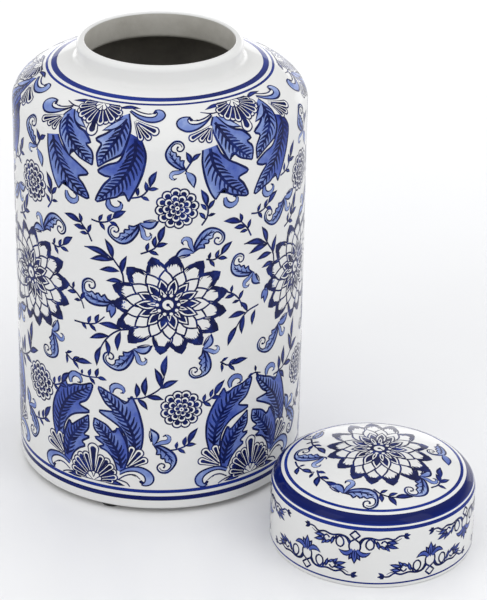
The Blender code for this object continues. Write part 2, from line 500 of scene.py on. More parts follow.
# Half widths of a shape along its length, as shares of the widest
POINTED = (0.30, 0.62, 0.86, 0.99, 1.0, 0.90, 0.68, 0.36, 0.0)
SPEAR = (0.0, 0.42, 0.76, 0.96, 1.0, 0.88, 0.64, 0.34, 0.0)
OUTER = (0.38, 0.54, 0.72, 0.89, 1.0, 0.98, 0.80, 0.46, 0.0)
TONGUE = (0.36, 0.58, 0.82)  # half widths at the foot, half way and near the round end
DROP = (0.08, 0.26, 0.46, 0.66, 0.85, 0.98, 1.0, 0.82, 0.0)


def smooth(points, step=PAINT_STEP, sharp=False):
    """Even steps along a smooth curve through these points."""
    points = np.array(points, complex)
    if len(points) > 2 and not sharp:
        ends = (2 * points[:1] - points[1:2], points, 2 * points[-1:] - points[-2:-1])
        p = np.concatenate(ends)
        t = np.linspace(0, 1, 9)[:-1][:, None]
        a, b, c, d = p[:-3], p[1:-2], p[2:-1], p[3:]
        cut = 0.5 * (
            2 * b + (c - a) * t + (2 * a - 5 * b + 4 * c - d) * t**2 + (3 * b - a - 3 * c + d) * t**3
        )
        points = np.concatenate([cut.T.ravel(), points[-1:]])
    along = np.concatenate([[0], np.cumsum(np.abs(np.diff(points)))])
    count = max(3, math.ceil(along[-1] / step) + 1)
    return resample(points, along, count)


def resample(points, along, count):
    at = np.linspace(0, along[-1], count)
    return np.interp(at, along, points.real) + 1j * np.interp(at, along, points.imag)


def evenly(curve, count):
    return resample(curve, np.concatenate([[0], np.cumsum(np.abs(np.diff(curve)))]), count)


def polar(radius, degrees):
    return radius * cmath.exp(1j * math.radians(degrees))


class Ink:
    """Painted shapes as grids of points: (layer, level, points, tones). A higher level covers a
    lower one."""

    def __init__(self):
        self.grids = []

    def web(self, layer, level, left, right, tone=0.5):
        """Fills between two curves. tone is one value, or (base, tip), or (base, tip, left, right)."""
        count = max(len(left), len(right))
        left, right = evenly(left, count), evenly(right, count)
        across = max(2, math.ceil(np.abs(left - right).max() / PAINT_STEP) + 1)
        share = np.linspace(0, 1, across)
        points = left[:, None] * (1 - share) + right[:, None] * share
        along = np.linspace(0, 1, count)[:, None]
        tones = (tone,) if isinstance(tone, (int, float)) else tone
        base, tip = tones[0], tones[1] if len(tones) > 1 else tones[0]
        tint = base + (tip - base) * along + 0 * share
        if len(tones) == 4:
            tint = tint + tones[2] * (1 - share) + tones[3] * share
        self.grids.append((layer, level, points, tint))

    def blade(self, layer, level, spine, width, shape=SPEAR, tone=0.5, step=PAINT_STEP):
        """A shape of this half width along a spine."""
        curve = smooth(spine, step)
        heading = np.gradient(curve)
        side = 1j * heading / np.maximum(np.abs(heading), 1e-9)
        at = np.linspace(0, 1, len(curve))
        half = np.interp(at, np.linspace(0, 1, len(shape)), shape) * width
        half = np.maximum(half, TIP)
        self.web(layer, level, curve + side * half, curve - side * half, tone)

    def tongue(self, layer, level, root, tip, width, tone=0.5):
        """A petal with a round end."""
        length = abs(tip - root)
        straight_end = max(length - width, 0.3 * length)
        along = [0.0, straight_end * 0.5, straight_end * 0.85]
        half = [width * share for share in TONGUE]
        for degrees in ROUND_END:
            turn = math.radians(degrees)
            along.append(straight_end + (length - straight_end) * math.sin(turn))
            half.append(width * math.cos(turn))
        along, half = np.array(along), np.array(half)
        spin = (tip - root) / length
        left, right = (smooth(root + spin * (along + side * half), FINE_STEP, True) for side in (1j, -1j))
        self.web(layer, level, left, right, tone)

    def round_petal(self, level, root, tip, width, heart, line):
        """A white petal with a round end, a dark outline and a dark heart of this share of its width."""
        heading = (tip - root) / abs(tip - root)
        self.tongue("line", level, root, tip, width + line * 0.5)
        self.tongue("white", level + 1, root, tip - heading * line, width - line * 0.5, 0.2)
        if heart:
            start, end = root + (tip - root) * 0.12, tip - heading * (line + width * (1 - heart))
            self.tongue("line", level + 2, start, end, width * heart)

    def line(self, points, width=LINE, level=LINES, taper=(1.0, 1.0), sharp=False):
        """A drawn line. taper gives its width at points along it, as shares."""
        curve = smooth(points, LINE_STEP, sharp)
        heading = np.gradient(curve)
        side = 1j * heading / np.maximum(np.abs(heading), 1e-9)
        at = np.linspace(0, 1, len(curve))
        half = np.interp(at, np.linspace(0, 1, len(taper)), taper) * width / 2
        half = np.maximum(half, TIP)
        self.grids.append(
            ("line", level, np.stack([curve + side * half, curve - side * half], axis=1), None)
        )

    def dot(self, layer, level, centre, radius):
        angles = np.linspace(0, math.pi, max(5, math.ceil(radius * 3) + 3))
        upper = radius * (-np.cos(angles) + 1j * np.sin(angles))
        self.web(layer, level, centre + upper, centre + np.conj(upper))

    def petal(self, level, root, tip, width, shape=POINTED, fill="white", tone=0.5, line=LINE,
              bend=0.0):
        """An outlined shape: the outline is a dark shape with a smaller fill on it."""
        middle = (root + tip) / 2 + 1j * (tip - root) * bend
        spine = [root, middle, tip]
        self.blade("line", level, spine, width + line * 0.45, shape, step=PETAL_STEP)
        heading = (tip - root) / abs(tip - root)
        inner = [root + heading * line * 0.25, middle, tip - heading * line * 1.5]
        self.blade(fill, level + 1, inner, width - line * 0.55, shape, tone, step=PETAL_STEP)

    def place(self, other, origin=0.0, turn=0.0, scale=1.0, flip=False):
        """Adds another drawing, turned in degrees, scaled and moved."""
        spin = polar(scale, turn)
        for layer, level, points, tones in other.grids:
            moved = np.conj(points) if flip else points
            self.grids.append((layer, level, origin + spin * moved, tones))


# ---------------------------------------------------------------- motifs


def leafy(ink, leaves, stems=(), width=0.20):
    """Dark pointed leaves, each from its foot to its tip, and their stems. width is a leaf's half
    width as a share of its length."""
    for stem in stems:
        ink.line(stem, STEM, LINES, (1.0, 0.95, 0.7))
    for foot, tip in leaves:
        length = abs(tip - foot)
        bend = 0.07 if (tip - foot).real > 0 else -0.07
        half = min(max(width * length, 0.95), 2.0)
        spine = [foot, (foot + tip) / 2 + 1j * (tip - foot) * bend, tip]
        ink.blade("line", LINES, spine, half + 0.15, SPEAR, step=LEAF_STEP)
        if length > 5.5:
            inner = [foot + (tip - foot) * 0.2, spine[1], foot + (tip - foot) * 0.8]
            ink.blade("wash", LINES + 1, inner, half * 0.42, SPEAR, (0.98, 0.86))


SCROLL_REACH, SCROLL_LEAN = 17.5, 2.0  # where the spiral's middle lies as drawn: mm and degrees


def acanthus(ink, base, curl, calyx, bud):
    """A scroll leaf: a lobed leaf whose back runs on into a spiral, with a curled bract and a bud
    at its base. Drawn from its base towards the middle of the spiral, then scaled and turned."""
    made = Ink()
    back = [0, 3.2 + 5.2j, 9.8 + 9.3j, 15.1 + 9.4j, 19.0 + 6.2j]
    spiral = [19.0 + 6.2j, 21.2 + 1.2j, 19.4 - 3.0j, 15.6 - 3.6j, 13.7 - 0.6j, 15.6 + 1.6j, 17.4 + 0.3j]
    front = [0, 4.2 + 0.6j, 7.0 - 0.8j, 7.6 + 1.8j, 10.6 + 0.9j, 11.2 + 3.2j, 14.0 + 2.6j, 15.2 + 4.6j,
             18.0 + 4.8j]
    made.web("wash", WASHES, smooth(back), smooth(front, sharp=True), (0.42, 0.05, 0.10, 0.0))
    made.blade("wash", WASHES, [18.5 + 5.6j] + spiral[1:4], 1.0, (1.0, 1.0, 0.8, 0.3), (0.1, 0.0))
    made.line(back + spiral[1:], LINE * 1.25, LINES, (0.8, 1.2, 1.0, 0.9, 0.8))
    made.line(front[:6], LINE * 1.2, LINES, (0.8, 1.0, 1.0))
    made.line(front[5:] + [19.8 + 1.4j, 18.6 - 1.6j, 16.2 - 2.2j], LINE, LINES, (1.0, 1.0, 0.5))
    made.dot("line", LINES, 17.1 + 0.4j, 0.75)
    made.line([0.5 + 0.5j, 6 + 4.2j, 12.5 + 6.2j, 16.5 + 6.0j], LINE * 1.2, LINES, (1.2, 1.0, 0.5))
    for foot, tip in ((4 + 3.0j, 6.6 + 2.2j), (5.6 + 3.9j, 8.6 + 6.8j), (8.4 + 5.2j, 10.2 + 3.4j),
                      (9 + 5.4j, 12.6 + 7.6j), (11.8 + 6.1j, 13.6 + 4.6j), (12.4 + 6.2j, 15.6 + 7.4j)):
        made.line([foot, tip], LINE, LINES, (1.1, 0.4))
    made.line([0, -1.6 + 0.2j, -2.6 + 1.4j], LINE * 1.4, LINES, (1.0, 0.6))
    if calyx:
        hook = [0.2 + 0.4j, 0.0 + 5.0j, 0.9 + 9.0j, -1.4 + 11.0j, -3.9 + 9.6j, -3.6 + 7.4j]
        made.blade("line", LINES, hook, 1.75, (0.3, 0.8, 1.0, 1.0, 0.8, 0.5, 0.2))
        made.blade("wash", LINES + 1, hook[:-1], 1.15, (0.1, 0.8, 1.0, 1.0, 0.8, 0.2), (0.35, 0.08))
    if bud:
        made.petal(LINES, 0j, -12.0 + 2.2j, 2.3, SPEAR, "wash", (0.42, 0.10), line=1.3, bend=-0.16)
        made.line([-2.5 - 0.6j, -7 - 0.3j, -10.2 + 1.2j], LINE, LINES + 2, (1.0, 0.5))
    step = curl - base
    turn = math.degrees(cmath.phase(step)) - SCROLL_LEAN
    ink.place(made, base, turn, abs(step) / SCROLL_REACH)


# Petals, where they start and end, and their half width
CHRYSANTHEMUM_RINGS = ((12, 6.4, 13.4, 3.05), (9, 3.4, 9.4, 2.7), (6, 0.9, 5.7, 2.1))


def chrysanthemum(ink, centre, turn):
    """A small round flower head: three rings of scalloped petals."""
    made = Ink()
    made.dot("line", LINES, 0j, 11.4)
    for ring, (count, low, high, width) in enumerate(CHRYSANTHEMUM_RINGS):
        level = LINES + 1 + 3 * ring
        for i in range(count):
            angle = turn + ring * 17 + 360 * i / count
            made.round_petal(level, polar(low, angle), polar(high, angle), width, 0.60, 1.0)
    made.dot("line", LINES + 11, 0j, 2.1)
    made.dot("white", LINES + 12, 0j, 1.4)
    made.dot("line", LINES + 13, 0j, 0.6)
    ink.place(made, centre)


FLOWER_REACH = 36  # radius that a large flower's inner rings are drawn for
# Where the outer petals of the jar's flower and of the lid's flower end, measured from the middle
JAR_FLOWER = (4.6 + 32.5j, -9.6 + 31.5j, -24.6 + 24j, -33.6 + 11j, -33.4 - 1.0j, -31.2 - 15.5j,
              -24 - 26.4j, -4.6 - 33.5j, 8.4 - 33.5j, 20.9 - 28.5j, 31.4 - 20.5j, 36.6 - 8.5j,
              37.4 + 5.0j, 32.4 + 18.6j, 21.4 + 27.5j)
LID_FLOWER = (11.5 + 40.6j, -1 + 45.6j, -14.5 + 41.6j, -27 + 26.6j, -31.5 + 8j, -32 - 6.4j,
              -26.5 - 20.4j, -18 - 32.9j, -7.5 - 38.4j, 5.5 - 39.4j, 21 - 33.4j, 29 - 22.4j,
              32 - 7.9j, 31.4 + 9.6j, 23.5 + 26.6j)


def dark_tip(ink, level, root, tip, width, seed):
    """The brushed dark end of a white petal, with feathered strokes running back from it."""
    rng = random.Random(seed)
    along = tip - root
    side = 1j * along / abs(along)
    ink.blade("line", level, [tip - along * 0.25, tip - along * 0.12, tip], width,
              (0.25, 0.76, 0.60, 0.34, 0.0))
    for step in range(11):
        share = (step - 5) / 5 + rng.uniform(-0.06, 0.06)
        start = tip - along * (0.15 + 0.06 * abs(share)) + side * width * share * 0.62
        reach = rng.uniform(0.05, 0.17) + 0.20 * abs(share) ** 2
        end = start - along * reach + side * width * share * 0.26
        ink.blade("line", level, [start, end], width * rng.uniform(0.09, 0.14), (1.0, 0.8, 0.0))


def dahlia(ink, centre, tips, seed):
    """The large flower head: dark-tipped outer petals that end at these tips, round smaller rings."""
    wide = max(abs(tip.real) for tip in tips) / FLOWER_REACH
    tall = max(abs(tip.imag) for tip in tips) / FLOWER_REACH
    count = len(tips)

    def oval(radius, heading):
        point = radius * heading / abs(heading)
        return point.real * wide + 1j * point.imag * tall

    headings = [tip.real / wide + 1j * tip.imag / tall for tip in tips]
    for i, tip in enumerate(tips):
        root = centre + oval(10, headings[i])
        level = LINES + 3 * (i % 2) + (4 if i == count - 1 else 0)
        ink.petal(level, root, centre + tip, 6.3 - 0.3 * (i % 2), OUTER, "white", line=1.0)
        dark_tip(ink, level + 2, root, centre + tip, 6.1, seed * 31 + i)
    for i, heading in enumerate(headings):
        following = headings[(i + 1) % count]
        heading = heading / abs(heading) + following / abs(following)
        root, tip = centre + oval(8, heading), centre + oval(25.4, heading)
        ink.petal(LINES + 10 + 2 * (i % 2), root, tip, 4.3, OUTER, "white", line=1.0)
    ink.dot("line", LINES + 13, centre, 12.5)
    for i in range(14):
        heading = polar(1, 360 * i / 14)
        level = LINES + 14 + 2 * (i % 2)
        root, tip = centre + oval(6, heading), centre + oval(19.6, heading)
        ink.petal(level, root, tip, 3.3, POINTED, "white", line=1.0)
        heart = [centre + oval(8, heading), centre + oval(16.8, heading)]
        ink.blade("line", level + 2, heart, 1.9, POINTED)
    for i in range(11):
        heading = polar(1, 360 * (i + 0.4) / 11)
        root, tip = centre + oval(4.5, heading), centre + oval(13.4, heading)
        ink.petal(LINES + 19, root, tip, 1.7, POINTED, "white", line=1.0)
        heart = [centre + oval(6, heading), centre + oval(10.6, heading)]
        ink.blade("line", LINES + 21, heart, 0.6, DROP)
    ink.dot("line", LINES + 22, centre, 7.6)
    for i in range(10):
        ink.dot("white", LINES + 23, centre + polar(6.4, 36 * i), 1.05)
    ink.dot("white", LINES + 23, centre, 3.3)
    ink.dot("line", LINES + 24, centre, 1.1)
    ink.line([centre, centre + 1.6 - 1.6j, centre + 2.9 - 4.2j], 0.9, LINES + 24, (1.0, 0.8, 0.6))


def reach_of(start, heading, curve):
    """Distance from start along a unit heading to where it first crosses a curve."""
    a, b = curve[:-1], curve[1:]
    across = (np.conj(heading) * (b - a)).imag
    across = np.where(np.abs(across) < 1e-9, 1e-9, across)
    share = -(np.conj(heading) * (a - start)).imag / across
    far = (np.conj(heading) * (a + share * (b - a) - start)).real
    hits = far[(share >= 0) & (share <= 1) & (far > 0)]
    return float(hits.min()) if len(hits) else 0.0


VEIN_ANGLE, VEIN_TIP_ANGLE = 48, 34  # degrees from the midrib, at the vein's foot and at its tip


def veined_leaf(ink, level, left, right, rib, tone, veins, longest=8.5):
    """A lobed leaf between its two edges, outlined, with a midrib and herringbone veins."""
    edges = [smooth(left), smooth(right)]
    ink.web("wash", level, *edges, tone)
    for edge in (left, right):
        ink.line(edge, LINE * 1.25, level + 1, (0.9, 1.2, 0.9))
    curve = smooth(rib, 0.8)
    ink.line(rib, LINE * 1.6, level + 1, (1.3, 1.15, 0.5))
    heading = np.gradient(curve)
    heading /= np.abs(heading)
    for i in range(1, veins + 1):
        at = round((len(curve) - 1) * (i - 0.4) / (veins + 0.6))
        for side in (-1, 1):
            vein = heading[at] * polar(1, side * VEIN_ANGLE)
            room = [reach_of(curve[at], vein, edge) for edge in edges]
            length = min([0.88 * far for far in room if far > 0.6] + [longest])
            if length > 1.2:
                bent = heading[at] * polar(1, side * VEIN_TIP_ANGLE)
                spine = [curve[at], curve[at] + vein * length * 0.55,
                         curve[at] + vein * length * 0.6 + bent * length * 0.4]
                ink.line(spine, LINE * 1.45, level + 1, (0.95, 1.0, 0.35))


def palmette_side(ink, outer, inner, scroll, petals, hook, feather=None):
    """One side of a palmette: two veined leaves, the curled petal, small petals and a hook."""
    veined_leaf(ink, WASHES + 1, *outer)
    veined_leaf(ink, WASHES + 4, *inner)
    if feather:
        ink.petal(WASHES + 7, feather[0], feather[1], 2.0, SPEAR, "wash", (0.25, 0.12), bend=feather[2])
    back, front, lining, lip = scroll
    ink.web("line", LINES, smooth(back), smooth(lining), 0.5)
    ink.web("white", LINES + 1, smooth(back), smooth(lining[:-1]), 0.5)
    ink.web("wash", LINES + 2, smooth(back), smooth(front), (0.45, 0.12))
    ink.line(back, LINE * 1.1, LINES + 3, (0.8, 1.1, 0.8))
    ink.line(front, LINE * 1.1, LINES + 3, (0.8, 1.0, 0.8))
    ink.line(lining, LINE, LINES + 3, (0.8, 1.0, 0.6))
    ink.line(lip, LINE * 2.4, LINES + 3, (0.6, 1.2, 0.5))
    root, level, tips = petals
    for tip, width in tips:
        ink.round_petal(level, root, tip, width, 0.5, 0.85)
    ink.blade("line", WASHES, hook, 2.2, (0.5, 1.0, 1.0, 0.8, 0.5, 0.15))
    ink.blade("wash", WASHES + 1, hook[:-1], 1.35, (0.3, 0.9, 1.0, 0.8, 0.2), 0.3)


def palmette_flower(ink, centre, side, petals):
    """The fan of white petals in the middle, and small ones at its foot. side is 1 up, -1 down."""
    flower = Ink()
    flower.dot("line", LINES + 4, 0j, 13.0)
    for i, (angle, length, width) in enumerate(petals):
        for turn in (angle, 180 - angle)[: 2 if angle < 90 else 1]:
            root, tip = polar(2.0, turn), polar(length, turn)
            flower.round_petal(LINES + 5 + 3 * (i % 2), root, tip, width, 0.56, 0.85)
    for i, angle in enumerate((18, 54, 90, 126, 162)):
        flower.round_petal(LINES + 11 + 2 * (i % 2), 0j, polar(6.2, angle), 1.8, 0, 0.9)
    flower.grids = [
        (layer, level, grid.real + 1j * np.maximum(grid.imag, -0.8), tone)
        for layer, level, grid, tone in flower.grids
    ]
    ink.place(flower, centre, flip=side < 0)


# Both sides of a palmette: outer leaf, inner leaf, curled petal, small petals, hook and feather. A leaf
# is its two edges, rib, tones, number of veins and longest vein; a curled petal is its back, front,
# lining and lip; small petals are their root, level, and tips with half widths.
TOP_SIDES = (
    (
        (
            [31 + 250j, 34 + 241j, 32.6 + 231j, 29.5 + 222j, 26 + 215j, 23.7 + 210.6j],
            [22 + 254j, 21.5 + 243j, 18 + 235.5j, 11.4 + 232.6j, 5.0 + 227.9j, 9 + 225.4j, 13 + 224.6j,
             8 + 218.6j, 3.3 + 208.4j, 11 + 211j, 17 + 213j, 20.6 + 216.4j, 23.7 + 210.6j],
            [28 + 250j, 27.6 + 240j, 23.6 + 230j, 17 + 220.5j, 5.6 + 209.8j],
            (0.78, 0.18, 0.28, -0.16), 14,
        ),
        (
            [21 + 266j, 24 + 256j, 22.6 + 247j, 20 + 240.6j, 16.5 + 238j, 10.5 + 234.4j, 5.1 + 230.4j],
            [17 + 264j, 13 + 255j, 9.5 + 251.4j, 3.6 + 247.4j, 7.4 + 245j, 6.0 + 242j, 4.4 + 237.5j,
             5.1 + 230.4j],
            [20 + 262j, 18 + 252j, 13 + 243.4j, 6.2 + 232.6j],
            (0.42, 0.16, 0.10, -0.06), 10, 7.0,
        ),
        (
            [21 + 267.6j, 28 + 263j, 36 + 260.6j, 42.6 + 261.8j, 45.8 + 265.2j, 44.6 + 268.6j,
             41.6 + 269.9j, 38.6 + 269.4j],
            [21.6 + 268.4j, 28 + 265.4j, 34 + 264j, 38.6 + 264.6j, 40.4 + 266.8j, 39.6 + 268.6j,
             38.6 + 269.2j],
            [22.5 + 270j, 29 + 267.4j, 35 + 266.4j, 38.6 + 267.4j],
            [37.6 + 267j, 39.2 + 267.8j, 38.4 + 269.2j],
        ),
        (26 + 261j, LINES, ((31.6 + 248.6j, 1.8), (36.8 + 249.6j, 1.9), (41.8 + 253.6j, 2.7))),
        [11.6 + 211.4j, 11.4 + 207j, 14.8 + 204.6j, 18.8 + 206j, 19.5 + 209.2j, 17 + 210.6j],
        (20 + 262.5j, 6.3 + 252.6j, 0.06),
    ),
    (
        (
            [-31.5 + 242.6j, -31.6 + 234j, -29.4 + 223j, -26.4 + 215j, -23.4 + 210.2j],
            [-23 + 244.6j, -19.7 + 238.4j, -14.7 + 233.8j, -8 + 229.8j, -1.5 + 224.7j, -8.3 + 221.7j,
             -4.4 + 216.6j, -1.4 + 209j, -10 + 210.8j, -15 + 212.8j, -18 + 216.6j, -23.4 + 210.2j],
            [-27 + 243j, -24.8 + 233j, -19.7 + 224j, -12.6 + 216j, -3 + 210.2j],
            (0.48, 0.36, -0.10, 0.12), 11,
        ),
        (
            [-21 + 262j, -24 + 256j, -22.6 + 248j, -19 + 240.6j, -14.6 + 233.6j, -12.4 + 238j, -7 + 234j,
             1.3 + 230.8j],
            [-18.6 + 262j, -14.6 + 256j, -9.5 + 252j, -4.6 + 250.2j, 0.2 + 245j, -2.6 + 243.4j,
             0.9 + 240j, 1.9 + 236j, 1.3 + 230.8j],
            [-21 + 258j, -17 + 249j, -10 + 240.6j, -0.4 + 232.6j],
            (0.34, 0.30, -0.10, 0.10), 10, 7.0,
        ),
        (
            [-21.7 + 262.5j, -28 + 257.8j, -34 + 254.9j, -40 + 254.2j, -44.8 + 256.6j, -45.9 + 260j,
             -43.6 + 262.8j, -39.6 + 263.8j, -36 + 263.4j],
            [-21.2 + 263.4j, -26 + 260.2j, -32 + 258.4j, -36.6 + 258.6j, -38.6 + 260.6j, -37.8 + 262.4j,
             -36 + 263.2j],
            [-20.6 + 264.6j, -26 + 262j, -31.6 + 260.6j, -35.8 + 261.2j],
            [-35.2 + 261j, -36.6 + 262j, -36 + 263.2j],
        ),
        (-24 + 256j, LINES, ((-28 + 246.2j, 1.8), (-33.4 + 247.6j, 1.8), (-39.6 + 249.2j, 2.1))),
        [-17.2 + 210.6j, -16.4 + 206.6j, -13 + 204.8j, -9.4 + 206.4j, -9.2 + 209.6j, -12 + 210.4j],
        (-17.6 + 261.4j, -4.4 + 252.2j, -0.06),
    ),
)


def top_palmette():
    """Hangs from the shoulder ring. Measured from its axis, heights as on the jar."""
    made = Ink()
    for side in TOP_SIDES:
        palmette_side(made, *side)
    leafy(made, [(12 + 269.2j, 28.5 + 270.4j), (-8 + 269.6j, -24.6 + 267.6j)], width=0.08)
    made.line([-28.4 + 266.2j, -21 + 264.4j, -15 + 264.8j], LINE, LINES + 3, (0.5, 1.0, 0.6))
    petals = ((-9, 15.5, 1.8), (-20, 18, 2.1), (-31, 18.6, 2.4), (-44, 18, 2.5), (-58, 16.6, 2.5))
    petals += ((-73, 16.4, 2.4), (-90, 22.5, 3.7))
    palmette_flower(made, -0.4 + 270.8j, -1, [(-angle, length, width) for angle, length, width in petals])
    return made


BOTTOM_SIDES = (
    (
        (
            [29 + 40j, 31.3 + 50j, 31.6 + 60j, 29.8 + 69.5j, 27.3 + 77j, 25 + 82j],
            [21.5 + 44j, 21.6 + 52j, 18 + 59j, 12 + 63.6j, 3.8 + 68.7j, 13.4 + 70.2j, 8 + 75.4j,
             3.6 + 85j, 11 + 82.4j, 17 + 79.6j, 20.8 + 76.4j, 25 + 82j],
            [26.6 + 42j, 25.8 + 54j, 20.6 + 66j, 13 + 75j, 5 + 83.4j],
            (0.42, 0.40, 0.16, -0.20), 14,
        ),
        (
            [19 + 28j, 22.3 + 38j, 22 + 47j, 19.4 + 54j, 16.2 + 59j, 13.4 + 55.4j, 8.4 + 60j, 0.6 + 63j],
            [15.4 + 29j, 13.4 + 36j, 9 + 41.4j, 3.6 + 43.6j, 7 + 45.6j, 0.9 + 49.5j, 4.6 + 51j,
             1.2 + 54.6j, 0 + 58j, 0.6 + 63j],
            [18.4 + 31j, 15.6 + 42j, 9.6 + 51j, 2 + 60.4j],
            (0.60, 0.36, 0.10, -0.16), 11, 7.0,
        ),
        (
            [17 + 28.6j, 23 + 32.2j, 30 + 33j, 35.8 + 30.2j, 38.4 + 25.5j, 36.8 + 21.4j, 33 + 20j,
             30.6 + 20.8j],
            [17 + 26.4j, 22 + 29.2j, 27.6 + 29.8j, 32 + 27.4j, 33.2 + 24j, 32 + 21.8j, 30.8 + 21j],
            [16.4 + 23j, 21 + 26.4j, 26.4 + 27.4j, 30 + 24.4j],
            [29.4 + 22.6j, 31.2 + 22.8j, 30.8 + 21.2j],
        ),
        (20.5 + 31j, LINES - 3, ((25.6 + 47.8j, 2.3), (34.8 + 39.2j, 2.4), (31.4 + 45.4j, 2.8))),
        [12.4 + 82.6j, 12.6 + 86.2j, 15.6 + 88.2j, 19.4 + 86.8j, 20.2 + 83.8j, 17.8 + 83.4j],
    ),
    (
        (
            [-30 + 42j, -32 + 52j, -31.7 + 62j, -29.2 + 70j, -25 + 77.6j, -20.7 + 84j],
            [-23.4 + 44j, -22 + 52j, -18.6 + 58j, -13 + 62.4j, -2.7 + 66.4j, -10 + 69.9j, -4 + 75j,
             -0.4 + 86j, -8 + 83.6j, -14 + 82.4j, -18.2 + 79.6j, -20.7 + 84j],
            [-27 + 44j, -25.6 + 58j, -20 + 69.6j, -12.6 + 77j, -2.4 + 83.4j],
            (0.50, 0.62, 0.12, -0.10), 14,
        ),
        (
            [-21.8 + 28j, -22.8 + 38j, -21.4 + 48j, -17.7 + 56.6j, -16.2 + 53.7j, -11 + 58j, -3.5 + 64j],
            [-17.4 + 28j, -15 + 34j, -11 + 38.6j, -6.2 + 41.8j, -8.4 + 44.4j, -2.9 + 48.8j, -7 + 49.6j,
             -3.6 + 55j, -3.5 + 64j],
            [-20.4 + 31j, -17.6 + 43j, -11.6 + 52j, -4.4 + 61j],
            (0.66, 0.44, 0.10, -0.16), 11, 7.0,
        ),
        (
            [-17.4 + 27j, -23.6 + 29.9j, -29.8 + 29.9j, -35.8 + 28j, -38.9 + 24j, -37.8 + 19.4j,
             -34 + 17.4j, -31 + 18.4j],
            [-18.4 + 25.2j, -23.6 + 27.6j, -28.6 + 27.4j, -32.8 + 25.2j, -34.4 + 22.2j, -33.2 + 19.4j,
             -31.2 + 18.6j],
            [-18 + 21.6j, -22.4 + 24.2j, -27 + 24.2j, -31 + 21.6j],
            [-30.4 + 20j, -32 + 20.4j, -31.4 + 18.8j],
        ),
        (-21.5 + 30j, LINES - 3, ((-27 + 45.8j, 2.3), (-37.4 + 36.8j, 2.5), (-34.6 + 44j, 2.6))),
        [-16 + 83j, -16.6 + 87j, -13.4 + 90j, -9 + 88.6j, -8.4 + 85j, -11.4 + 84.6j],
    ),
)


def bottom_palmette():
    """Stands on the foot ring. Measured from its axis, heights as on the jar."""
    made = Ink()
    for side in BOTTOM_SIDES:
        palmette_side(made, *side)
    leafy(made, [(6 + 19.4j, 20.5 + 18.8j), (-9 + 18.4j, -20 + 18.4j)], width=0.11)
    made.line([6 + 21.4j, 14 + 22.8j, 21 + 21.4j, 23.4 + 18.6j], LINE, LINES + 3, (0.8, 1.0, 0.8))
    made.line([-8 + 20.6j, -14 + 21j, -20 + 19.8j, -24 + 17.8j], LINE, LINES + 3, (0.8, 1.0, 0.8))
    palmette_flower(
        made, -0.4 + 19.8j, 1,
        ((4, 14, 1.7), (16, 17, 2.1), (30, 18, 2.3), (44, 18.8, 2.4), (58, 19.8, 2.4), (72, 19.4, 2.4),
         (90, 25.6, 3.8)),
    )
    return made


